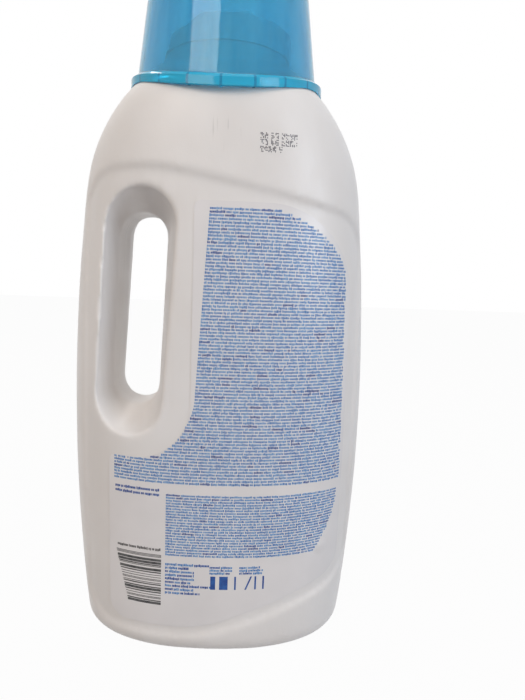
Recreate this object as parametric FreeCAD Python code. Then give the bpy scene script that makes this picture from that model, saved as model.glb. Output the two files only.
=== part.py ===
import FreeCAD, Part
import math
import os

os.makedirs("parts", exist_ok=True)

# Laundry detergent bottle: a blow-moulded body with a through-handle, a press-on pourer, a lift-off
# dosing cap whose rim follows the shoulder, and a wrap of printed film on one broad face.
# Millimetres. +Z up, origin at the middle of the base, handle towards -X, labelled face towards -Y.

# ---- Body: heights and half sizes -------------------------------------------------------------
FOOT_HALF_WIDTH = 59.6
BELLY_HALF_WIDTH = 66.2
BELLY_Z = 103.5
SHOULDER_HALF_WIDTH = 61.1
SHOULDER_Z = 197.0
SHOULDER_TOP_HALF_WIDTH = 27.6
SHOULDER_TOP_Z = 254.7
SHOULDER_CURVE = 2.4
FOOT_HALF_DEPTH = 38.6
BELLY_HALF_DEPTH = 39.9
FACE_TOP_Z = 221.0
FACE_END_HALF_DEPTH = 27.6
FACE_END_Z = 249.0
FACE_CURVE = 3.0
OVAL_POWER = 2.3
WALL = 1.2
FOOT_RADIUS = 8.0
PUSH_UP = 3.0
PUSH_UP_MARGIN = 11.0

# ---- Recessed label panels --------------------------------------------------------------------
PANEL_DEPTH = 1.1
PANEL_SIDE_MARGIN = 4.5
PANEL_TOP_LEFT_Z = 206.5
PANEL_TOP_RIGHT_Z = 190.0
PANEL_BOTTOM_LEFT_Z = 8.5
PANEL_BOTTOM_RIGHT_Z = 30.0

# ---- Through-handle ---------------------------------------------------------------------------
GRIP_TOP_X = -34.6
GRIP_TOP_Z = 180.3
GRIP_BOTTOM_X = -37.6
GRIP_BOTTOM_Z = 115.0
GRIP_RADIUS = 10.5
GRIP_LAND = 10.0
SCOOP_TOP_X = -32.5
SCOOP_TOP_Z = 183.7
SCOOP_BOTTOM_X = -37.7
SCOOP_BOTTOM_Z = 111.1
SCOOP_RADIUS = 16.0
SCOOP_FACE = 38.0

# ---- Neck -------------------------------------------------------------------------------------
NECK_RADIUS = 26.0
NECK_WALL = 1.6
NECK_TOP_Z = 265.4
PEDESTAL_RADIUS = 27.4
PEDESTAL_TOP_Z = 256.6
SNAP_BEAD = 0.5
SNAP_BEAD_Z = 261.0

# ---- Pourer -----------------------------------------------------------------------------------
POURER_SKIRT_RADIUS = 27.6
POURER_DECK = 1.5
POURER_WALL = 1.2
POURER_FIT = 0.1
POURER_FLOOR_Z = 250.0
POURER_FLOOR_SLOPE = 2.5
POURER_LIFT = 0.3
SPOUT_BASE_RADIUS = 13.0
SPOUT_TIP_RADIUS = 10.5
SPOUT_TIP_Z = 278.5
SPOUT_SLANT = 30.0
DRAIN_WIDTH = 5.0

# ---- Dosing cap -------------------------------------------------------------------------------
CAP_WALL_RADIUS = 39.0
CAP_WALL_RADIUS_Z = 248.2
CAP_TAPER = 0.12
CAP_TOP_Z = 300.0
CAP_WALL = 1.4
CAP_EDGE_RADIUS = 4.0
RIM_SIDE_Z = 243.3
RIM_FACE_Z = 234.9
COLLAR_RADIUS = 41.9
COLLAR_HEIGHT = 5.4
COLLAR_WALL = 1.5
COLLAR_FLARE = 2.2
CAP_CLEARANCE = 0.4
RIB_COUNT = 20
RIB_THICKNESS = 1.0
GRADUATIONS = 3
GRADUATION_STEP = 9.0
GRADUATION_FIRST = 12.0
GRADUATION_DEPTH = 0.5
GRADUATION_HEIGHT = 0.8
GRADUATION_ARC = 36.0

# ---- Label ------------------------------------------------------------------------------------
LABEL_THICKNESS = 0.15
LABEL_GLUE = 0.05
LABEL_TOP_Z = 193.0
LABEL_RIGHT_X = 56.5
LABEL_LEFT_X = -9.5
LABEL_TAB_X = -44.5
LABEL_TAB_Z = 87.5
LABEL_FOOT_GAP = 4.5

OVAL_POINTS = 24
BARREL_STEPS = 14
BARREL_CROWDING = 1.6
FOOT_STEPS = 6
REACH = 60.0


def body_half_width(z):
    """Half width of the blown body: a barrel that rolls in over the shoulder."""
    if z < BELLY_Z:
        return BELLY_HALF_WIDTH - (BELLY_HALF_WIDTH - FOOT_HALF_WIDTH) * ((BELLY_Z - z) / BELLY_Z) ** 2
    barrel = (BELLY_HALF_WIDTH - SHOULDER_HALF_WIDTH) / (SHOULDER_Z - BELLY_Z) ** 2
    width = BELLY_HALF_WIDTH - barrel * (z - BELLY_Z) ** 2
    if z > SHOULDER_Z:
        top_width = BELLY_HALF_WIDTH - barrel * (SHOULDER_TOP_Z - BELLY_Z) ** 2
        rise = (z - SHOULDER_Z) / (SHOULDER_TOP_Z - SHOULDER_Z)
        width -= (top_width - SHOULDER_TOP_HALF_WIDTH) * rise ** SHOULDER_CURVE
    return width


def body_half_depth(z):
    """Half depth of the blown body: near-flat faces that roll in under the cap."""
    depth = BELLY_HALF_DEPTH
    if z < BELLY_Z:
        depth -= (BELLY_HALF_DEPTH - FOOT_HALF_DEPTH) * ((BELLY_Z - z) / BELLY_Z) ** 2
    if z > FACE_TOP_Z:
        rise = (z - FACE_TOP_Z) / (FACE_END_Z - FACE_TOP_Z)
        depth -= (BELLY_HALF_DEPTH - FACE_END_HALF_DEPTH) * rise ** FACE_CURVE
    return depth


def oval_wire(z, half_width, half_depth):
    """Closed smooth oval at height z, a little squarer than an ellipse."""
    points = []
    for step in range(OVAL_POINTS):
        angle = 2.0 * math.pi * step / OVAL_POINTS
        c = math.cos(angle)
        s = math.sin(angle)
        x = half_width * math.copysign(abs(c) ** (2.0 / OVAL_POWER), c)
        y = half_depth * math.copysign(abs(s) ** (2.0 / OVAL_POWER), s)
        points.append(FreeCAD.Vector(x, y, z))
    even = [step / OVAL_POINTS for step in range(OVAL_POINTS + 1)]
    curve = Part.BSplineCurve()
    curve.interpolate(Points=points, PeriodicFlag=True, Parameters=even)
    return Part.Wire([curve.toShape()])


def barrel_wire(z, growth, inset):
    """Section of the blown body at height z, grown sideways and drawn in by an inset."""
    return oval_wire(z, body_half_width(z) + growth - inset, body_half_depth(z) + growth - inset)


def barrel_solid(growth, bottom_z, top_z):
    """The body's outer form, grown (or shrunk) sideways, between two heights."""
    wires = []
    for step in range(BARREL_STEPS + 1):
        left = 1.0 - step / BARREL_STEPS
        wires.append(barrel_wire(top_z - (top_z - bottom_z) * left ** BARREL_CROWDING, growth, 0.0))
    return Part.makeLoft(wires, True, False)


def footed_barrel(growth, bottom_z, top_z, radius):
    """A barrel whose bottom edge is rounded to this radius."""
    wires = []
    for step in range(FOOT_STEPS + 1):
        angle = math.pi / 2.0 * step / FOOT_STEPS
        z = bottom_z + radius * (1.0 - math.cos(angle))
        wires.append(barrel_wire(z, growth, radius * (1.0 - math.sin(angle))))
    return Part.makeLoft(wires, True, False).fuse(barrel_solid(growth, bottom_z + radius, top_z))


def slot_wire(top_x, top_z, bottom_x, bottom_z, radius, y):
    """Rounded slot about a leaning centre line, in the plane at y."""
    lean = math.atan2(top_x - bottom_x, top_z - bottom_z)
    along = FreeCAD.Vector(math.sin(lean), 0, math.cos(lean))
    across = FreeCAD.Vector(math.cos(lean), 0, -math.sin(lean))
    top = FreeCAD.Vector(top_x, y, top_z)
    bottom = FreeCAD.Vector(bottom_x, y, bottom_z)
    cap_arc = Part.Arc(top - across * radius, top + along * radius, top + across * radius)
    foot_arc = Part.Arc(bottom + across * radius, bottom - along * radius, bottom - across * radius)
    right = Part.LineSegment(top + across * radius, bottom + across * radius)
    left = Part.LineSegment(bottom - across * radius, top - across * radius)
    return Part.Wire([cap_arc.toShape(), right.toShape(), foot_arc.toShape(), left.toShape()])


def grip_cutter(growth):
    """The handle opening: a straight slot in the middle that flares towards both faces."""
    land = slot_wire(GRIP_TOP_X, GRIP_TOP_Z, GRIP_BOTTOM_X, GRIP_BOTTOM_Z, GRIP_RADIUS + growth, -GRIP_LAND)
    cutter = Part.Face(land).extrude(FreeCAD.Vector(0, 2.0 * GRIP_LAND, 0))
    reach = (REACH - GRIP_LAND) / (SCOOP_FACE - GRIP_LAND)
    far_top_x = GRIP_TOP_X + (SCOOP_TOP_X - GRIP_TOP_X) * reach
    far_top_z = GRIP_TOP_Z + (SCOOP_TOP_Z - GRIP_TOP_Z) * reach
    far_bottom_x = GRIP_BOTTOM_X + (SCOOP_BOTTOM_X - GRIP_BOTTOM_X) * reach
    far_bottom_z = GRIP_BOTTOM_Z + (SCOOP_BOTTOM_Z - GRIP_BOTTOM_Z) * reach
    far_radius = GRIP_RADIUS + (SCOOP_RADIUS - GRIP_RADIUS) * reach + growth
    for side in (-1, 1):
        near = slot_wire(GRIP_TOP_X, GRIP_TOP_Z, GRIP_BOTTOM_X, GRIP_BOTTOM_Z, GRIP_RADIUS + growth,
                         side * GRIP_LAND)
        far = slot_wire(far_top_x, far_top_z, far_bottom_x, far_bottom_z, far_radius, side * REACH)
        cutter = cutter.fuse(Part.makeLoft([near, far], True, True))
    return cutter


def rounded_outline(corners):
    """Closed wire in the XZ plane: corners are (x, z, radius), joined by lines and tangent arcs."""
    edges = []
    count = len(corners)
    starts = []
    ends = []
    middles = []
    for index in range(count):
        x, z, radius = corners[index]
        before = corners[index - 1]
        after = corners[(index + 1) % count]
        point = FreeCAD.Vector(x, 0, z)
        back = (FreeCAD.Vector(before[0], 0, before[1]) - point).normalize()
        ahead = (FreeCAD.Vector(after[0], 0, after[1]) - point).normalize()
        half_angle = back.getAngle(ahead) / 2.0
        setback = radius / math.tan(half_angle)
        bisector = (back + ahead).normalize()
        centre = point + bisector * (radius / math.sin(half_angle))
        starts.append(point + back * setback)
        ends.append(point + ahead * setback)
        middles.append(centre - bisector * radius)
    for index in range(count):
        edges.append(Part.Arc(starts[index], middles[index], ends[index]).toShape())
        edges.append(Part.LineSegment(ends[index], starts[(index + 1) % count]).toShape())
    return Part.Wire(edges)


def prism(wire, side):
    """A flat outline pushed out along Y on one side of the middle plane."""
    return Part.Face(wire).extrude(FreeCAD.Vector(0, side * REACH, 0))


def panel_outline():
    """Outline of the recessed panel: high at the handle, lower at the other shoulder."""
    left = -(FOOT_HALF_WIDTH - PANEL_SIDE_MARGIN / 2.0)
    right = BELLY_HALF_WIDTH - PANEL_SIDE_MARGIN
    return rounded_outline([
        (left, PANEL_TOP_LEFT_Z, 16.0),
        (-24.0, PANEL_TOP_LEFT_Z, 60.0),
        (right, PANEL_TOP_RIGHT_Z, 16.0),
        (right, PANEL_BOTTOM_RIGHT_Z, 16.0),
        (-4.0, PANEL_BOTTOM_LEFT_Z, 60.0),
        (left, PANEL_BOTTOM_LEFT_Z, 16.0),
    ])


def panel_solid():
    """The body's outer form at panel depth."""
    return barrel_solid(-PANEL_DEPTH, 0.0, SHOULDER_TOP_Z)


def disc_solid(points):
    """Solid of revolution about Z from a closed outline of (radius, z) points."""
    corners = [FreeCAD.Vector(radius, 0, z) for radius, z in points]
    face = Part.Face(Part.makePolygon(corners + corners[:1]))
    return face.revolve(FreeCAD.Vector(0, 0, 0), FreeCAD.Vector(0, 0, 1), 360)


def bead_points(radius):
    """A snap bead's ridge on a wall of this radius, from bottom to top."""
    return [
        (radius, SNAP_BEAD_Z - 2.0 * SNAP_BEAD),
        (radius + SNAP_BEAD, SNAP_BEAD_Z),
        (radius, SNAP_BEAD_Z + 2.0 * SNAP_BEAD),
    ]


def neck_solid():
    """Round pedestal and neck, still without its bore."""
    root_z = FACE_TOP_Z
    outline = [(0, root_z), (PEDESTAL_RADIUS, root_z), (PEDESTAL_RADIUS, PEDESTAL_TOP_Z)]
    outline += [(NECK_RADIUS, PEDESTAL_TOP_Z)] + bead_points(NECK_RADIUS)
    outline += [(NECK_RADIUS, NECK_TOP_Z), (0, NECK_TOP_Z)]
    return disc_solid(outline)


def outer_body(slim):
    """The bottle as a full solid: barrel, foot rounding, panels, neck and handle opening."""
    barrel = footed_barrel(0.0, 0.0, SHOULDER_TOP_Z, FOOT_RADIUS)
    outline = panel_outline()
    for side in (-1, 1):
        barrel = barrel.cut(prism(outline, side).cut(slim))
    return barrel.fuse(neck_solid()).cut(grip_cutter(0.0))


def inner_body():
    """The hollow: the panel form less one wall, pinched round the handle and open at the neck."""
    floor_z = PUSH_UP + WALL
    barrel = footed_barrel(-(PANEL_DEPTH + WALL), floor_z, SHOULDER_TOP_Z - WALL, FOOT_RADIUS - WALL)
    bore = Part.makeCylinder(NECK_RADIUS - NECK_WALL, NECK_TOP_Z - FACE_TOP_Z + WALL,
                             FreeCAD.Vector(0, 0, FACE_TOP_Z))
    return barrel.cut(grip_cutter(WALL)).fuse(bore)


def push_up_solid():
    """The shallow hollow under the base that leaves a flat ring to stand on."""
    ring_half_width = FOOT_HALF_WIDTH - PUSH_UP_MARGIN
    ring_half_depth = FOOT_HALF_DEPTH - PUSH_UP_MARGIN
    low = oval_wire(0.0, ring_half_width, ring_half_depth)
    high = oval_wire(PUSH_UP, ring_half_width - PUSH_UP, ring_half_depth - PUSH_UP)
    return Part.makeLoft([low, high], True, True)


def make_bottle_body(slim):
    return outer_body(slim).cut(push_up_solid()).cut(inner_body())


def make_pourer():
    """Press-on pourer: gripping skirt, plug wall in the bore, drain-back floor and slanted spout."""
    skirt_inner = NECK_RADIUS + POURER_FIT
    plug_outer = NECK_RADIUS - NECK_WALL - POURER_FIT
    plug_inner = plug_outer - POURER_WALL
    deck_z = NECK_TOP_Z + POURER_DECK
    skirt_bottom = PEDESTAL_TOP_Z + POURER_LIFT
    floor_rise = POURER_FLOOR_SLOPE
    outline = [(POURER_SKIRT_RADIUS, skirt_bottom), (POURER_SKIRT_RADIUS, deck_z)]
    outline += [(plug_inner, deck_z), (plug_inner, POURER_FLOOR_Z + floor_rise + POURER_WALL)]
    outline += [(SPOUT_BASE_RADIUS, POURER_FLOOR_Z + POURER_WALL), (SPOUT_TIP_RADIUS, SPOUT_TIP_Z)]
    outline += [(SPOUT_TIP_RADIUS - POURER_WALL, SPOUT_TIP_Z)]
    outline += [(SPOUT_BASE_RADIUS - POURER_WALL, POURER_FLOOR_Z)]
    outline += [(plug_outer, POURER_FLOOR_Z + floor_rise), (plug_outer, NECK_TOP_Z)]
    outline += [(skirt_inner, NECK_TOP_Z)] + list(reversed(bead_points(skirt_inner)))
    outline += [(skirt_inner, skirt_bottom)]
    pourer = disc_solid(outline)
    tip_cut = Part.makeBox(4 * NECK_RADIUS, 4 * NECK_RADIUS, 2 * NECK_RADIUS,
                           FreeCAD.Vector(-2 * NECK_RADIUS, -2 * NECK_RADIUS, 0))
    tip_cut.rotate(FreeCAD.Vector(0, 0, 0), FreeCAD.Vector(0, 1, 0), -SPOUT_SLANT)
    tip_cut.translate(FreeCAD.Vector(SPOUT_TIP_RADIUS, 0, SPOUT_TIP_Z))
    slot = Part.makeBox(SPOUT_BASE_RADIUS, DRAIN_WIDTH, SPOUT_TIP_Z - POURER_FLOOR_Z,
                        FreeCAD.Vector(-SPOUT_BASE_RADIUS, -DRAIN_WIDTH / 2.0, POURER_FLOOR_Z))
    return pourer.cut(tip_cut).cut(slot)


def cap_radius(z):
    """Outer radius of the tapered cap wall at height z."""
    return CAP_WALL_RADIUS - CAP_TAPER * (z - CAP_WALL_RADIUS_Z)


def above_rim(lift):
    """Everything above the saddle of the cap's rim, raised by lift: low at the faces, high at the sides."""
    face_z = RIM_FACE_Z + lift
    side_z = RIM_SIDE_Z + lift
    far_left = FreeCAD.Vector(-COLLAR_RADIUS, -REACH, side_z)
    far_right = FreeCAD.Vector(COLLAR_RADIUS, -REACH, side_z)
    saddle = Part.Arc(far_left, FreeCAD.Vector(0, -REACH, face_z), far_right).toShape()
    top_z = CAP_TOP_Z + COLLAR_HEIGHT
    wider = COLLAR_RADIUS + COLLAR_HEIGHT
    frame = Part.makePolygon([
        far_right,
        FreeCAD.Vector(wider, -REACH, side_z),
        FreeCAD.Vector(wider, -REACH, top_z),
        FreeCAD.Vector(-wider, -REACH, top_z),
        FreeCAD.Vector(-wider, -REACH, side_z),
        far_left,
    ])
    return Part.Face(Part.Wire([saddle] + frame.Edges)).extrude(FreeCAD.Vector(0, 2.0 * REACH, 0))


def collar_ribs():
    """Thin upright plates round the collar, one straight ahead on the labelled face."""
    root_z = RIM_FACE_Z - COLLAR_HEIGHT
    plate = Part.makeBox(COLLAR_RADIUS, RIB_THICKNESS, RIM_SIDE_Z - root_z + COLLAR_HEIGHT,
                         FreeCAD.Vector(0, -RIB_THICKNESS / 2.0, root_z))
    ribs = []
    for index in range(RIB_COUNT):
        rib = plate.copy()
        rib.rotate(FreeCAD.Vector(0, 0, 0), FreeCAD.Vector(0, 0, 1), -90.0 + 360.0 * index / RIB_COUNT)
        ribs.append(rib)
    return ribs


def graduation_ticks():
    """Short raised dosing marks inside the cup, on the labelled side."""
    ticks = []
    for index in range(GRADUATIONS):
        z = CAP_TOP_Z - GRADUATION_FIRST - GRADUATION_STEP * index
        inner = cap_radius(z) - CAP_WALL
        section = [(inner + GRADUATION_DEPTH, z), (inner - GRADUATION_DEPTH, z)]
        section += [(inner - GRADUATION_DEPTH, z + GRADUATION_HEIGHT), (inner + GRADUATION_DEPTH, z + GRADUATION_HEIGHT)]
        corners = [FreeCAD.Vector(radius, 0, height) for radius, height in section]
        face = Part.Face(Part.makePolygon(corners + corners[:1]))
        face.rotate(FreeCAD.Vector(0, 0, 0), FreeCAD.Vector(0, 0, 1), -90.0 - GRADUATION_ARC / 2.0)
        ticks.append(face.revolve(FreeCAD.Vector(0, 0, 0), FreeCAD.Vector(0, 0, 1), GRADUATION_ARC))
    return ticks


def make_dosing_cap():
    """Tapered cup over the pourer with a ribbed collar whose rim follows the shoulder."""
    root_z = RIM_FACE_Z - COLLAR_HEIGHT
    roof_z = CAP_TOP_Z - CAP_WALL
    cup = disc_solid([(0, root_z), (cap_radius(root_z), root_z), (cap_radius(CAP_TOP_Z), CAP_TOP_Z), (0, CAP_TOP_Z)])
    top_edges = [edge for edge in cup.Edges if edge.BoundBox.ZMin > CAP_TOP_Z - 0.01 and edge.Closed]
    cup = cup.makeFillet(CAP_EDGE_RADIUS, top_edges)
    hollow = disc_solid([(0, root_z), (cap_radius(root_z) - CAP_WALL, root_z),
                         (cap_radius(roof_z) - CAP_WALL, roof_z), (0, roof_z)])
    roof_edges = [edge for edge in hollow.Edges if edge.BoundBox.ZMin > roof_z - 0.01 and edge.Closed]
    hollow = hollow.makeFillet(CAP_EDGE_RADIUS - CAP_WALL, roof_edges)
    above_collar = above_rim(COLLAR_HEIGHT)
    collar_height = RIM_SIDE_Z + COLLAR_HEIGHT - root_z
    band = Part.makeCylinder(COLLAR_RADIUS, collar_height, FreeCAD.Vector(0, 0, root_z)).cut(above_collar)
    pocket_top = above_rim(COLLAR_HEIGHT - COLLAR_FLARE - COLLAR_WALL)
    pocket = Part.makeCylinder(COLLAR_RADIUS - COLLAR_WALL, collar_height, FreeCAD.Vector(0, 0, root_z))
    pocket = pocket.cut([pocket_top] + collar_ribs())
    band_edges = [edge for edge in band.Edges if edge.BoundBox.ZMin > RIM_FACE_Z and edge.Length > COLLAR_RADIUS]
    band = band.makeChamfer(COLLAR_FLARE, band_edges)
    shell = cup.fuse(band).cut(hollow).cut(pocket).common(above_rim(0.0))
    envelope = barrel_solid(CAP_CLEARANCE, FACE_TOP_Z, SHOULDER_TOP_Z)
    return shell.cut(envelope).fuse(graduation_ticks())


def label_outline():
    """Film outline: a tall block beside the handle with a tab that runs out under it."""
    foot_left = PANEL_BOTTOM_LEFT_Z + LABEL_FOOT_GAP
    foot_right = PANEL_BOTTOM_RIGHT_Z + LABEL_FOOT_GAP
    return rounded_outline([
        (LABEL_LEFT_X, LABEL_TOP_Z, 3.0),
        (LABEL_RIGHT_X, LABEL_TOP_Z, 36.0),
        (LABEL_RIGHT_X, foot_right, 12.0),
        (-4.0, foot_left, 60.0),
        (LABEL_TAB_X, foot_left, 8.0),
        (LABEL_TAB_X, LABEL_TAB_Z, 3.0),
        (LABEL_LEFT_X, LABEL_TAB_Z, 24.0),
    ])


def make_back_label():
    glue = barrel_solid(LABEL_GLUE - PANEL_DEPTH, 0.0, SHOULDER_TOP_Z)
    film = barrel_solid(LABEL_GLUE + LABEL_THICKNESS - PANEL_DEPTH, 0.0, SHOULDER_TOP_Z)
    return prism(label_outline(), -1).common(film).cut(glue)


slim = panel_solid()
parts = {
    "bottle_body": make_bottle_body(slim),
    "pourer": make_pourer(),
    "dosing_cap": make_dosing_cap(),
    "back_label": make_back_label(),
}
for name, shape in parts.items():
    shape.exportStep("parts/" + name + ".step")
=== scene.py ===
"""Looks for the detergent bottle: materials, printed marks, studio and camera round the CAD frame."""

import math
import random

import bmesh
import bpy
import numpy as np
from mathutils import Matrix, Vector
from mathutils.bvhtree import BVHTree


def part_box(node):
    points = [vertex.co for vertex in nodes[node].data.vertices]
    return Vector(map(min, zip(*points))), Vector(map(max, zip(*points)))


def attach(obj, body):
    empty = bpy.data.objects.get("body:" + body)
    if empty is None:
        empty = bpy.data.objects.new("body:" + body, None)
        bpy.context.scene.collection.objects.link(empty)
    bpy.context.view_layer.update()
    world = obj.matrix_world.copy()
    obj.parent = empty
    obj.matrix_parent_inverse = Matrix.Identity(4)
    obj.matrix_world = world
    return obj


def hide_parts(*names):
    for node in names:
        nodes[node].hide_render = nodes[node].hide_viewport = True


MM = 0.001
MICRON = 0.000001

# ---- Camera: millimetres and degrees, from the photograph's perspective ----------------------------
CAMERA_PLACE = Vector((15.9, -258.6, 161.8)) * MM
CAMERA_PITCH = 7.0
CAMERA_ROLL = 2.0
CAMERA_YAW = -0.86
CAMERA_LENS = 28.23
CAMERA_SENSOR = 36.0
CAMERA_CLIP = 10.0

# ---- Blow-moulded skin: millimetres ----------------------------------------------------------------
SKIN_CELL = 1.0
SKIN_PASSES = 6
PLUG_RADIUS = 25.2
PLUG_HEIGHT = 14.0
PLUG_MIDDLE_Z = 236.0
PLUG_SIDES = 48

# ---- Cap: the collar's denser colour starts and is full this many millimetres from the axis --------
COLLAR_FROM = 40.2
COLLAR_FULL = 40.8
CAP_RIBS = 20.0

# ---- Noise values between which most of a pattern lies ---------------------------------------------
NOISE_LOW = 0.3
NOISE_HIGH = 0.7

# ---- Printed marks: millimetres on the labelled face; a SHARE is a part of its whole -----------
SEED = 20
INK_FROM = 0.02
INK_TO = 0.06
STRIP_STEP = 1.6
CAST_FROM = 200.0

# Tiny marks that stand for letters
LETTER_WIDTHS = (0.34, 0.62)
LETTER_GAP = 0.14
WORD_LENGTHS = (2, 4, 5, 6, 7, 8, 10)
WORD_GAP = 0.34
ROW_END_MARGIN = 0.5
RISE_SHARES = (0.0, 0.0, 0.0, 0.28)
DROP_SHARES = (0.0, 0.0, 0.0, 0.0, 0.22)
HEIGHT_SHARE = 0.56

# Upper block of rows, from its left edge beside the grip to the tab under the grip
UPPER_TOP_Z = 189.6
UPPER_BOTTOM_Z = 77.0
UPPER_PITCH = 1.32
UPPER_BOLD_SHARE = 0.07
LEFT_EDGE_TOP = (-3.2, 190.0)
LEFT_EDGE_SWEEP = (-7.7, 114.0)
SWEEP_REACH = 15.0
SWEEP_END_Z = 88.0
TAB_X = -42.0
ROUND_FROM_Z = 165.0
ROUND_RISE = 25.6
ROUND_X = 18.0
ROUND_WIDTH = 36.0
ROUND_POWER = 1.7
RIGHT_DRIFT = 1.4 / 90.0

# Lower block of rows
LOWER_TOP_Z = 72.0
LOWER_BOTTOM_Z = 44.5
LOWER_PITCH = 1.2
LOWER_BOLD_SHARE = 0.04
LOWER_LEFT_X = -19.0
LOWER_RIGHT_X = 54.5
LOWER_RIGHT_TOP_Z = 73.0
LOWER_RIGHT_RISE = 31.0
LOWER_RIGHT_PULL = 12.0

# Side column: two bold rows above, a dark row and the lying bars under them
SIDE_ROWS_Z = (73.6, 71.6)
SIDE_ROWS_X = (-41.5, -21.5)
SIDE_ROW_HEIGHT = 0.9
DARK_ROW_Z = 47.2
DARK_ROW_X = (-40.5, -20.5)
BARS_TOP_Z = 45.4
BARS_BOTTOM_Z = 22.5
BARS_X = (-41.0, -20.8)
BARS_LEAN = 0.24
BAR_THICKNESSES = (0.25, 0.25, 0.5, 0.5, 1.1)
BAR_GAPS = (0.25, 0.4, 0.8)

# Short rows at the foot, and the plain blocks beside them
FOOT_ROWS = 9
FOOT_ROWS_TOP_Z = 41.2
FOOT_ROWS_PITCH = 1.62
FOOT_ROWS_HEIGHT = 0.85
FOOT_ROWS_X = -19.0
FOOT_ROWS_END_X = (-9, 3)
FOOT_ROWS_BOLD_SHARE = 0.5
COLUMNS_X = (0.0, 12.6)
COLUMN_ROWS = 3
COLUMN_WIDTHS = (9, 11)
COLUMN_TOP_Z = 40.6
COLUMN_PITCH = 1.3
COLUMN_HEIGHT = 0.75
COLUMN_BOLD_SHARE = 0.3
BLOCKS_Z = (31.0, 37.0)
BLOCKS = ((0.4, 2.1), (4.2, 3.6))
STROKES = ((10.6, 0.0), (15.0, 2.4), (19.2, 0.0), (22.6, 0.0))
STROKE_WIDTH = 0.7

# Ink-jet stamp above the film
STAMP_X = 15.6
STAMP_Z = 217.0
STAMP_LINES = ((2, 2, 4), (2, 2, 4), (4, 1))
STAMP_LINE_STEP = 2.55
STAMP_TILT = 0.02
DOT_COLUMNS = 3
DOT_ROWS = 5
DOT_PITCH = 0.46
DOT_SIZE = 0.34
DOT_SHARE = 0.55
CLUSTER_STEP = 1.62
CLUSTER_GROUP_GAP = 0.9

# ---- Studio: metres, and shares of white -----------------------------------------------------------
FLOOR_SIZE = 8.0
FLOOR_DROP = 0.0002
FLOOR_NOISE_SCALE = 3.0
FLOOR_DARK = (0.42, 0.41, 0.41, 1.0)
FLOOR_LIGHT = (0.46, 0.45, 0.45, 1.0)
FLOOR_GLOW_SHARE = 0.97
DOME_LIGHT = (0.30, 0.29, 0.29, 1.0)
WHITE = (1.0, 1.0, 1.0, 1.0)
LIGHTS_AIM = (0.0, 0.0, 0.15)


def linear(red, green, blue):
    """Scene colour for an 8-bit screen colour."""
    channels = []
    for value in (red, green, blue):
        share = value / 255.0
        channels.append(share / 12.92 if share <= 0.04045 else ((share + 0.055) / 1.055) ** 2.4)
    return (*channels, 1.0)


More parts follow.
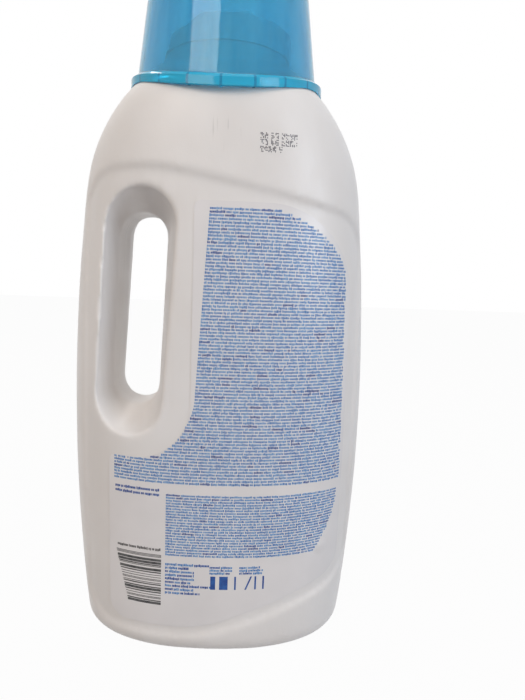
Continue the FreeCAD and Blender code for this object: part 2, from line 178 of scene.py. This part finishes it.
# ==== Material building blocks =======================================================================
class Shader:
    """One node material: thin helpers so that each finish below reads as a recipe."""

    def __init__(self, name):
        self.material = bpy.data.materials.new(name)
        self.material.use_nodes = True
        self.tree = self.material.node_tree
        self.tree.nodes.clear()
        self.output = self.tree.nodes.new("ShaderNodeOutputMaterial")
        self.surface = self.tree.nodes.new("ShaderNodeBsdfPrincipled")
        self.link(self.surface.outputs["BSDF"], self.output.inputs["Surface"])
        self.place = self.tree.nodes.new("ShaderNodeTexCoord").outputs["Object"]
        self.last_bump = None

    def link(self, source, target):
        self.tree.links.new(source, target)

    def set(self, **values):
        """Set constant sockets of the Principled shader; spaces in names are written as underscores."""
        for name, value in values.items():
            self.surface.inputs[name.replace("_", " ")].default_value = value

    def stretched(self, scale):
        """Object coordinates scaled per axis, in pattern cells a metre."""
        mapping = self.tree.nodes.new("ShaderNodeMapping")
        mapping.inputs["Scale"].default_value = scale
        self.link(self.place, mapping.inputs["Vector"])
        return mapping.outputs["Vector"]

    def noise(self, scale, detail=3.0):
        """Noise value with this many cells a metre along X, Y and Z."""
        texture = self.tree.nodes.new("ShaderNodeTexNoise")
        texture.inputs["Scale"].default_value = 1.0
        texture.inputs["Detail"].default_value = detail
        self.link(self.stretched(scale), texture.inputs["Vector"])
        return texture.outputs["Fac"]

    def cells(self, scale):
        """Distance to the nearest of scattered points, with this many cells a metre."""
        texture = self.tree.nodes.new("ShaderNodeTexVoronoi")
        texture.inputs["Scale"].default_value = 1.0
        self.link(self.stretched(scale), texture.inputs["Vector"])
        return texture.outputs["Distance"]

    def remap(self, value, low, high, to_low, to_high):
        """Smooth step of a value from one range to another."""
        node = self.tree.nodes.new("ShaderNodeMapRange")
        node.interpolation_type = "SMOOTHSTEP"
        node.inputs["From Min"].default_value = low
        node.inputs["From Max"].default_value = high
        node.inputs["To Min"].default_value = to_low
        node.inputs["To Max"].default_value = to_high
        self.link(value, node.inputs["Value"])
        return node.outputs["Result"]

    def fill(self, target, value):
        """Feed an input from a socket, or set it to a plain value."""
        if isinstance(value, bpy.types.NodeSocket):
            self.link(value, target)
        else:
            target.default_value = value

    def spread(self, noise, low, high):
        """A noise value opened up to fill a range."""
        return self.remap(noise, NOISE_LOW, NOISE_HIGH, low, high)

    def maths(self, operation, first, second=0.0):
        """A maths node on sockets or numbers."""
        node = self.tree.nodes.new("ShaderNodeMath")
        node.operation = operation
        self.fill(node.inputs[0], first)
        self.fill(node.inputs[1], second)
        return node.outputs["Value"]

    def mix(self, share, first, second):
        """Colour between two colours, each a socket or a plain colour, by a share."""
        node = self.tree.nodes.new("ShaderNodeMix")
        node.data_type = "RGBA"
        self.link(share, node.inputs["Factor"])
        self.fill(node.inputs["A"], first)
        self.fill(node.inputs["B"], second)
        return node.outputs["Result"]

    def near(self, x, y, z, radius):
        """1 at a point of the object, in millimetres, fading to 0 at the radius."""
        node = self.tree.nodes.new("ShaderNodeVectorMath")
        node.operation = "DISTANCE"
        self.link(self.place, node.inputs[0])
        node.inputs[1].default_value = Vector((x, y, z)) * MM
        return self.remap(node.outputs["Value"], 0.0, radius * MM, 1.0, 0.0)

    def along(self, axis):
        """One object coordinate in metres."""
        node = self.tree.nodes.new("ShaderNodeSeparateXYZ")
        self.link(self.place, node.inputs["Vector"])
        return node.outputs[axis]

    def off_axis(self):
        """Distance from the object's Z axis in metres."""
        across = self.along("X")
        deep = self.along("Y")
        across_square = self.maths("MULTIPLY", across, across)
        deep_square = self.maths("MULTIPLY", deep, deep)
        return self.maths("SQRT", self.maths("ADD", across_square, deep_square))

    def stripes(self, count, low, high):
        """1 on thin upright stripes spaced evenly round the object's Z axis, from cosine low to high."""
        turn = self.maths("MULTIPLY", self.maths("ARCTAN2", self.along("Y"), self.along("X")), count)
        return self.remap(self.maths("COSINE", turn), low, high, 0.0, 1.0)

    def absorption(self, colour, density):
        """Tint the inside of a clear piece."""
        volume = self.tree.nodes.new("ShaderNodeVolumeAbsorption")
        volume.inputs["Color"].default_value = colour
        volume.inputs["Density"].default_value = density
        self.link(volume.outputs["Volume"], self.output.inputs["Volume"])

    def colour(self, socket):
        self.link(socket, self.surface.inputs["Base Color"])

    def roughness(self, socket):
        self.link(socket, self.surface.inputs["Roughness"])

    def bump(self, height, microns):
        """Add relief of this depth on top of the relief so far."""
        node = self.tree.nodes.new("ShaderNodeBump")
        node.inputs["Strength"].default_value = 1.0
        node.inputs["Distance"].default_value = microns * MICRON
        self.link(height, node.inputs["Height"])
        if self.last_bump is not None:
            self.link(self.last_bump, node.inputs["Normal"])
        self.last_bump = node.outputs["Normal"]
        self.link(self.last_bump, self.surface.inputs["Normal"])


# ==== Finishes =======================================================================================
def white_polyethylene():
    """Blow-moulded body: satin white with orange peel, raised specks, a parting line and faint scuffs."""
    shader = Shader("white_polyethylene")
    shader.set(Subsurface_Weight=0.12, Subsurface_Radius=(1.0, 0.9, 0.8), Subsurface_Scale=0.003, IOR=1.5)
    mottle = shader.spread(shader.noise((26, 26, 18)), 0.0, 1.0)
    white = shader.mix(mottle, linear(228, 224, 221), linear(235, 232, 230))
    streaks = shader.remap(shader.noise((900, 900, 70), detail=4.0), 0.56, 0.70, 0.0, 0.5)
    scuffed = shader.maths("MULTIPLY", streaks, shader.near(1.5, -39.5, 219, 9))
    shader.colour(shader.mix(scuffed, white, linear(175, 171, 167)))
    shader.roughness(shader.spread(shader.noise((120, 120, 60)), 0.34, 0.44))
    shader.bump(shader.noise((260, 260, 200), detail=2.0), 60)
    shader.bump(shader.noise((1900, 1900, 1900), detail=2.0), 20)
    shader.bump(shader.remap(shader.cells((70, 70, 70)), 0.0, 0.05, 1.0, 0.0), 80)
    from_middle = shader.maths("ABSOLUTE", shader.along("Y"))
    shader.bump(shader.remap(from_middle, 120 * MICRON, 450 * MICRON, 1.0, 0.0), 120)
    return shader.material


def natural_polyethylene():
    """Injection-moulded pourer: milky, a little glossier than the body, with fine turning marks."""
    shader = Shader("natural_polyethylene")
    shader.set(Subsurface_Weight=0.25, Subsurface_Radius=(0.9, 1.0, 1.0), Subsurface_Scale=0.002, IOR=1.5)
    mottle = shader.spread(shader.noise((90, 90, 60)), 0.0, 1.0)
    shader.colour(shader.mix(mottle, linear(226, 232, 234), linear(236, 240, 241)))
    shader.roughness(shader.spread(shader.noise((300, 300, 200)), 0.24, 0.34))
    shader.bump(shader.noise((20, 20, 2600), detail=1.0), 10)
    return shader.material


def translucent_blue():
    """Clear blue dosing cap: drawn moulding streaks in relief, painted reflection streaks in its blue, and
    a denser collar with its ribs showing through.
    """
    shader = Shader("translucent_blue")
    shader.set(IOR=1.49, Specular_IOR_Level=0.12)
    # painted reflection: upright lighter and darker streaks in the cap's blue stand for streaks of
    # reflected light on the wall
    streaks = shader.remap(shader.noise((160, 160, 7), detail=3.0), 0.35, 0.65, 0.0, 1.0)
    wall = shader.mix(streaks, (0.08, 0.58, 0.81, 1.0), (0.16, 0.67, 0.87, 1.0))
    ribs = shader.stripes(CAP_RIBS, 0.955, 0.985)
    dense = shader.mix(ribs, (0.03, 0.58, 0.86, 1.0), (0.02, 0.34, 0.58, 1.0))
    radius = shader.off_axis()
    collar = shader.remap(radius, COLLAR_FROM * MM, COLLAR_FULL * MM, 0.0, 1.0)
    shader.colour(shader.mix(collar, wall, dense))
    clearness = shader.remap(radius, COLLAR_FROM * MM, COLLAR_FULL * MM, 0.80, 0.35)
    shader.link(clearness, shader.surface.inputs["Transmission Weight"])
    shader.roughness(shader.remap(shader.noise((2200, 2200, 90), detail=4.0), 0.50, 0.75, 0.05, 0.14))
    shader.bump(shader.noise((150, 150, 7), detail=2.0), 70)
    shader.bump(shader.noise((700, 700, 26), detail=2.0), 10)
    shader.absorption((0.0, 0.76, 0.88, 1.0), 300.0)
    return shader.material


def printed_film():
    """Thin white film: satin, slightly wavy, with one small air bubble near its lower corner."""
    shader = Shader("printed_film")
    shader.set(IOR=1.5, Coat_Weight=0.15, Coat_Roughness=0.25)
    mottle = shader.spread(shader.noise((40, 40, 30)), 0.0, 1.0)
    shader.colour(shader.mix(mottle, linear(224, 221, 221), linear(231, 228, 228)))
    shader.roughness(shader.spread(shader.noise((200, 200, 140)), 0.28, 0.36))
    shader.bump(shader.noise((45, 45, 30), detail=2.0), 120)
    shader.bump(shader.near(47, -27, 47, 4.5), 600)
    return shader.material


def ink(name, thin, full):
    """Printing ink between a thin and a full colour, dry and slightly uneven."""
    shader = Shader(name)
    density = shader.remap(shader.noise((420, 420, 420), detail=4.0), 0.35, 0.65, 0.0, 1.0)
    shader.colour(shader.mix(density, thin, full))
    shader.roughness(shader.spread(shader.noise((700, 700, 700)), 0.34, 0.5))
    shader.bump(shader.noise((2500, 2500, 2500), detail=2.0), 10)
    return shader.material


# ==== Blow-moulded skin ==============================================================================
def largest_island(mesh):
    """Vertex numbers of the connected island with the tallest box."""
    links = [[] for vertex in mesh.vertices]
    for edge in mesh.edges:
        first, second = edge.vertices
        links[first].append(second)
        links[second].append(first)
    seen = [False] * len(links)
    best = []
    best_height = 0.0
    for start in range(len(links)):
        if seen[start]:
            continue
        seen[start] = True
        island = [start]
        for member in island:
            for other in links[member]:
                if not seen[other]:
                    seen[other] = True
                    island.append(other)
        heights = [mesh.vertices[member].co.z for member in island]
        if max(heights) - min(heights) > best_height:
            best_height = max(heights) - min(heights)
            best = island
    return set(best)


def soften(mesh, passes):
    """Round every edge a little by moving each vertex towards the middle of its neighbours."""
    count = len(mesh.vertices)
    place = np.empty(count * 3)
    mesh.vertices.foreach_get("co", place)
    place = place.reshape(-1, 3)
    ends = np.empty(len(mesh.edges) * 2, dtype=int)
    mesh.edges.foreach_get("vertices", ends)
    ends = ends.reshape(-1, 2)
    weight = np.bincount(ends.ravel(), minlength=count).reshape(-1, 1)
    for turn in range(passes):
        total = np.zeros_like(place)
        for axis in range(3):
            total[:, axis] = np.bincount(ends[:, 0], place[ends[:, 1], axis], count)
            total[:, axis] += np.bincount(ends[:, 1], place[ends[:, 0], axis], count)
        place = 0.5 * place + 0.5 * total / weight
    mesh.vertices.foreach_set("co", place.ravel())


def moulded_skin(body, pourer):
    """The body's outside as one even skin, with its steps rounded as blow moulding leaves them.

    A plug closes the neck out of sight under the pourer, so that the hollow becomes an island of its own.
    """
    skin = bpy.data.objects.new("moulded_skin", body.data.copy())
    bpy.context.scene.collection.objects.link(skin)
    low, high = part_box(pourer)
    middle = (low + high) / 2.0
    plug = bmesh.new()
    plug.from_mesh(skin.data)
    bmesh.ops.create_cone(plug, cap_ends=True, segments=PLUG_SIDES, depth=PLUG_HEIGHT * MM,
                          radius1=PLUG_RADIUS * MM, radius2=PLUG_RADIUS * MM,
                          matrix=Matrix.Translation((middle.x, 0.0, PLUG_MIDDLE_Z * MM)))
    plug.to_mesh(skin.data)
    plug.free()
    remesh = skin.modifiers.new("even_skin", "REMESH")
    remesh.mode = "VOXEL"
    remesh.voxel_size = SKIN_CELL * MM
    graph = bpy.context.evaluated_depsgraph_get()
    mesh = bpy.data.meshes.new_from_object(skin.evaluated_get(graph))
    skin.modifiers.clear()
    skin.data = mesh
    outside = largest_island(mesh)
    trim = bmesh.new()
    trim.from_mesh(mesh)
    inner = [vertex for vertex in trim.verts if vertex.index not in outside]
    bmesh.ops.delete(trim, geom=inner, context="VERTS")
    trim.to_mesh(mesh)
    trim.free()
    soften(mesh, SKIN_PASSES)
    mesh.polygons.foreach_set("use_smooth", [True] * len(mesh.polygons))
    mesh.materials.clear()
    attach(skin, "bottle")
    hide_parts("bottle_body")
    return skin


# ==== Printed marks ==================================================================================
class Print:
    """Collects thin closed slabs that lie on one face of a CAD piece."""

    def __init__(self, carrier):
        mesh = carrier.data
        corners = [vertex.co for vertex in mesh.vertices]
        self.surface = BVHTree.FromPolygons(corners, [tuple(face.vertices) for face in mesh.polygons])
        self.points = []
        self.faces = []

    def on_surface(self, x, z):
        """Point and outward normal on the labelled face at this x and z in millimetres, or None."""
        start = Vector((x * MM, -CAST_FROM * MM, z * MM))
        hit, normal = self.surface.ray_cast(start, Vector((0, 1, 0)))[:2]
        if hit is None:
            return None
        return hit, normal if normal.y < 0 else -normal

    def strip(self, left, right, low, high, slant=0.0):
        """A slab from left to right that follows the surface; slant is its lean over its height."""
        count = max(1, math.ceil((right - left) / STRIP_STEP))
        ring = []
        for step in range(count + 1):
            x = left + (right - left) * step / count
            for z, lean in ((low, 0.0), (high, slant)):
                found = self.on_surface(x + lean, z)
                if found is None:
                    return
                hit, normal = found
                ring.append(hit + normal * INK_FROM * MM)
                ring.append(hit + normal * INK_TO * MM)
        base = len(self.points)
        self.points += ring
        for step in range(count):
            near = base + 4 * step
            far = near + 4
            self.faces.append((near + 1, far + 1, far + 3, near + 3))
            self.faces.append((near + 2, far + 2, far, near))
            self.faces.append((near, far, far + 1, near + 1))
            self.faces.append((near + 3, far + 3, far + 2, near + 2))
        last = base + 4 * count
        self.faces.append((base, base + 1, base + 3, base + 2))
        self.faces.append((last + 2, last + 3, last + 1, last))

    def build(self, name, material, slot_name):
        """Turn the slabs into one piece of the bottle."""
        mesh = bpy.data.meshes.new(name)
        mesh.from_pydata(self.points, [], self.faces)
        mesh.update()
        piece = bpy.data.objects.new(name, mesh)
        bpy.context.scene.collection.objects.link(piece)
        piece.data.materials.append(material)
        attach(piece, "bottle")


def upper_left(z):
    """Left edge of the upper block of rows: beside the grip, then a sweep out to the tab under it."""
    top_x, top_z = LEFT_EDGE_TOP
    sweep_x, sweep_z = LEFT_EDGE_SWEEP
    if z > sweep_z:
        return top_x + (sweep_x - top_x) * (top_z - z) / (top_z - sweep_z)
    if z > SWEEP_END_Z:
        return sweep_x - SWEEP_REACH * ((sweep_z - z) / (sweep_z - SWEEP_END_Z)) ** 2
    return TAB_X


def upper_right(z):
    """Right edge of the upper block: a big round at the shoulder, then nearly straight."""
    if z > ROUND_FROM_Z:
        rise = (z - ROUND_FROM_Z) / ROUND_RISE
        return ROUND_X + ROUND_WIDTH * (1 - rise ** ROUND_POWER) ** (1 / ROUND_POWER)
    return ROUND_X + ROUND_WIDTH + RIGHT_DRIFT * (ROUND_FROM_Z - z)


def lower_left(z):
    """Left edge of the lower block: upright at every height."""
    return LOWER_LEFT_X


def lower_right(z):
    """Right edge of the lower block, drawn in towards the foot."""
    return LOWER_RIGHT_X - LOWER_RIGHT_PULL * ((LOWER_RIGHT_TOP_Z - z) / LOWER_RIGHT_RISE) ** 2


def text_row(rng, fine, bold, left, right, z, height, bold_share):
    """One row of tiny word-like marks: no letters, only blocks of changing width and height."""
    x = left
    while x < right - ROW_END_MARGIN:
        target = bold if rng.random() < bold_share else fine
        for letter in range(rng.choice(WORD_LENGTHS)):
            width = rng.uniform(*LETTER_WIDTHS)
            rise = rng.choice(RISE_SHARES) * height
            drop = rng.choice(DROP_SHARES) * height
            if x + width > right:
                return
            target.strip(x, x + width, z - drop, z + height + rise)
            x += width + LETTER_GAP
        x += WORD_GAP


def text_block(rng, fine, bold, top, bottom, pitch, left_edge, right_edge, bold_share):
    """Rows of marks between two outline functions."""
    z = top
    while z > bottom:
        text_row(rng, fine, bold, left_edge(z), right_edge(z), z, HEIGHT_SHARE * pitch, bold_share)
        z -= pitch


def foot_rows(rng, fine, bold):
    """Short rows at the foot of the film and two small columns beside them."""
    for index in range(FOOT_ROWS):
        right = rng.uniform(*FOOT_ROWS_END_X)
        z = FOOT_ROWS_TOP_Z - FOOT_ROWS_PITCH * index
        text_row(rng, fine, bold, FOOT_ROWS_X, right, z, FOOT_ROWS_HEIGHT, FOOT_ROWS_BOLD_SHARE)
    for left in COLUMNS_X:
        for index in range(COLUMN_ROWS):
            right = left + rng.uniform(*COLUMN_WIDTHS)
            z = COLUMN_TOP_Z - COLUMN_PITCH * index
            text_row(rng, fine, bold, left, right, z, COLUMN_HEIGHT, COLUMN_BOLD_SHARE)


def plain_blocks(bold):
    """Plain blocks and strokes where large figures would stand."""
    low, high = BLOCKS_Z
    for left, width in BLOCKS:
        bold.strip(left, left + width, low, high)
    for left, slant in STROKES:
        bold.strip(left, left + STROKE_WIDTH, low, high, slant)


def lying_bars(rng, black):
    """A generic block of lying bars of changing thickness."""
    left, right = BARS_X
    z = BARS_TOP_Z
    while z > BARS_BOTTOM_Z:
        thickness = rng.choice(BAR_THICKNESSES)
        black.strip(left + (BARS_TOP_Z - z) * BARS_LEAN, right, z - thickness, z)
        z -= thickness + rng.choice(BAR_GAPS)


def main_print(label):
    """All marks on the film, sorted by ink: fine blue, bold blue and black."""
    rng = random.Random(SEED)
    fine = Print(label)
    bold = Print(label)
    black = Print(label)
    text_block(rng, fine, bold, UPPER_TOP_Z, UPPER_BOTTOM_Z, UPPER_PITCH,
               upper_left, upper_right, UPPER_BOLD_SHARE)
    text_block(rng, fine, bold, LOWER_TOP_Z, LOWER_BOTTOM_Z, LOWER_PITCH,
               lower_left, lower_right, LOWER_BOLD_SHARE)
    for z in SIDE_ROWS_Z:
        text_row(rng, fine, bold, *SIDE_ROWS_X, z, SIDE_ROW_HEIGHT, bold_share=1.0)
    foot_rows(rng, fine, bold)
    plain_blocks(bold)
    lying_bars(rng, black)
    text_row(rng, black, black, *DARK_ROW_X, DARK_ROW_Z, SIDE_ROW_HEIGHT, bold_share=0.0)
    return fine, bold, black


def dot_cluster(rng, stamp, left, low):
    """Scattered ink-jet dots on a small grid."""
    for column in range(DOT_COLUMNS):
        for row in range(DOT_ROWS):
            if rng.random() < DOT_SHARE:
                x = left + column * DOT_PITCH
                z = low + row * DOT_PITCH
                stamp.strip(x, x + DOT_SIZE, z, z + DOT_SIZE)


def dot_stamp(body):
    """Three lines of ink-jet dots above the film: dot clusters only, no characters."""
    rng = random.Random(SEED + 1)
    stamp = Print(body)
    for line, groups in enumerate(STAMP_LINES):
        x = STAMP_X
        for group in groups:
            for cluster in range(group):
                dot_cluster(rng, stamp, x, STAMP_Z - STAMP_LINE_STEP * line + STAMP_TILT * (x - STAMP_X))
                x += CLUSTER_STEP
            x += CLUSTER_GROUP_GAP
    return stamp


# ==== Studio =========================================================================================
def seen_directly(tree):
    """1 for camera, mirror and see-through rays, 0 for rays that carry light."""
    path = tree.nodes.new("ShaderNodeLightPath")
    total = path.outputs["Is Camera Ray"]
    for name in ("Is Glossy Ray", "Is Transmission Ray"):
        add = tree.nodes.new("ShaderNodeMath")
        add.operation = "ADD"
        add.use_clamp = True
        tree.links.new(total, add.inputs[0])
        tree.links.new(path.outputs[name], add.inputs[1])
        total = add.outputs["Value"]
    return total


def make_world():
    """White to look at, a soft grey dome as light."""
    world = bpy.data.worlds.new("studio")
    bpy.context.scene.world = world
    world.use_nodes = True
    tree = world.node_tree
    background = tree.nodes["Background"]
    mix = tree.nodes.new("ShaderNodeMix")
    mix.data_type = "RGBA"
    tree.links.new(seen_directly(tree), mix.inputs["Factor"])
    mix.inputs["A"].default_value = DOME_LIGHT
    mix.inputs["B"].default_value = WHITE
    tree.links.new(mix.outputs["Result"], background.inputs["Color"])
    background.inputs["Strength"].default_value = 1.0


def make_floor():
    """Pale studio floor that reads as white, with a trace of the bottle's shadow."""
    bpy.ops.mesh.primitive_plane_add(size=FLOOR_SIZE, location=(0.0, 0.0, -FLOOR_DROP))
    floor = bpy.context.object
    floor.name = "studio_floor"
    material = bpy.data.materials.new("studio_floor")
    material.use_nodes = True
    tree = material.node_tree
    tree.nodes.clear()
    output = tree.nodes.new("ShaderNodeOutputMaterial")
    matte = tree.nodes.new("ShaderNodeBsdfDiffuse")
    noise = tree.nodes.new("ShaderNodeTexNoise")
    noise.inputs["Scale"].default_value = FLOOR_NOISE_SCALE
    tint = tree.nodes.new("ShaderNodeMix")
    tint.data_type = "RGBA"
    tint.inputs["A"].default_value = FLOOR_DARK
    tint.inputs["B"].default_value = FLOOR_LIGHT
    tree.links.new(noise.outputs["Fac"], tint.inputs["Factor"])
    tree.links.new(tint.outputs["Result"], matte.inputs["Color"])
    glow = tree.nodes.new("ShaderNodeEmission")
    glow.inputs["Color"].default_value = WHITE
    glow.inputs["Strength"].default_value = 1.0
    blend = tree.nodes.new("ShaderNodeMixShader")
    share = tree.nodes.new("ShaderNodeMath")
    share.operation = "MULTIPLY"
    share.inputs[1].default_value = FLOOR_GLOW_SHARE
    tree.links.new(seen_directly(tree), share.inputs[0])
    tree.links.new(share.outputs["Value"], blend.inputs["Fac"])
    tree.links.new(matte.outputs["BSDF"], blend.inputs[1])
    tree.links.new(glow.outputs["Emission"], blend.inputs[2])
    tree.links.new(blend.outputs["Shader"], output.inputs["Surface"])
    floor.data.materials.append(material)


def area_light(name, place, size, power, colour):
    """A soft rectangular lamp at a place in metres, turned towards the bottle's middle."""
    data = bpy.data.lights.new(name, "AREA")
    data.shape = "RECTANGLE"
    data.size = size[0]
    data.size_y = size[1]
    data.energy = power
    data.color = colour
    lamp = bpy.data.objects.new(name, data)
    lamp.location = place
    lamp.rotation_euler = (Vector(LIGHTS_AIM) - Vector(place)).to_track_quat("-Z", "Y").to_euler()
    bpy.context.scene.collection.objects.link(lamp)


def make_lights():
    """A warm lamp on the left, a cool one on the right, and soft ones behind and above."""
    area_light("warm_left", (-0.45, -0.85, 0.80), (0.6, 0.6), 4.8, (1.0, 0.90, 0.80))
    area_light("cool_right", (0.80, -0.62, 0.45), (0.4, 0.6), 4.1, (0.80, 0.89, 1.0))
    area_light("back_soft", (-0.20, 0.50, 1.05), (0.5, 0.5), 3.2, (1.0, 0.97, 0.95))
    area_light("top_soft", (0.05, -0.25, 0.95), (0.4, 0.4), 0.9, (1.0, 0.97, 0.95))


def make_camera():
    """The photograph's viewpoint, with its slight downward pitch, yaw and roll."""
    pitch = math.radians(CAMERA_PITCH)
    roll = math.radians(CAMERA_ROLL)
    yaw = math.radians(CAMERA_YAW)
    level_right = Vector((math.cos(yaw), math.sin(yaw), 0.0))
    forward = Vector((-math.sin(yaw) * math.cos(pitch), math.cos(yaw) * math.cos(pitch), -math.sin(pitch)))
    level_up = level_right.cross(forward)
    right = math.cos(roll) * level_right + math.sin(roll) * level_up
    up = math.cos(roll) * level_up - math.sin(roll) * level_right
    data = bpy.data.cameras.new("photo_camera")
    data.lens = CAMERA_LENS
    data.sensor_width = CAMERA_SENSOR
    data.clip_start = CAMERA_CLIP * MM
    camera = bpy.data.objects.new("photo_camera", data)
    turned = Matrix((right, up, -forward)).transposed().to_4x4()
    camera.matrix_world = Matrix.Translation(CAMERA_PLACE) @ turned
    bpy.context.scene.collection.objects.link(camera)
    bpy.context.scene.camera = camera


def dress(piece, material):
    """Give a CAD piece its finish."""
    piece.data.materials.clear()
    piece.data.materials.append(material)


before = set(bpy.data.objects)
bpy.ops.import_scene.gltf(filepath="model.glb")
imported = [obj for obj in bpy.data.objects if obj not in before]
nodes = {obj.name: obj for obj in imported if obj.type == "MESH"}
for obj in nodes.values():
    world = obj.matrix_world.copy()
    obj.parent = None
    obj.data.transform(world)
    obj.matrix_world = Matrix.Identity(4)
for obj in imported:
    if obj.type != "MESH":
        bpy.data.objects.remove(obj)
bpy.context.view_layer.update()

skin = moulded_skin(nodes["bottle_body"], "pourer")
skin.data.materials.append(white_polyethylene())
dress(nodes["pourer"], natural_polyethylene())
dress(nodes["dosing_cap"], translucent_blue())
dress(nodes["back_label"], printed_film())

fine_print, bold_print, black_print = main_print(nodes["back_label"])
blue = ink("ink_blue", linear(98, 152, 205), linear(60, 118, 184))
dark_blue = ink("ink_dark_blue", linear(38, 92, 165), linear(22, 66, 140))
black = ink("ink_black", linear(88, 88, 88), linear(52, 52, 54))
jet = ink("ink_jet", linear(86, 84, 92), linear(58, 56, 66))
fine_print.build("print_fine_rows", blue, "printed_film")
bold_print.build("print_bold_marks", dark_blue, "printed_film")
black_print.build("print_bars", black, "printed_film")
dot_stamp(skin).build("stamp_dots", jet, "white_polyethylene")

make_world()
make_floor()
make_lights()
make_camera()
bpy.context.scene.view_settings.view_transform = "Standard"
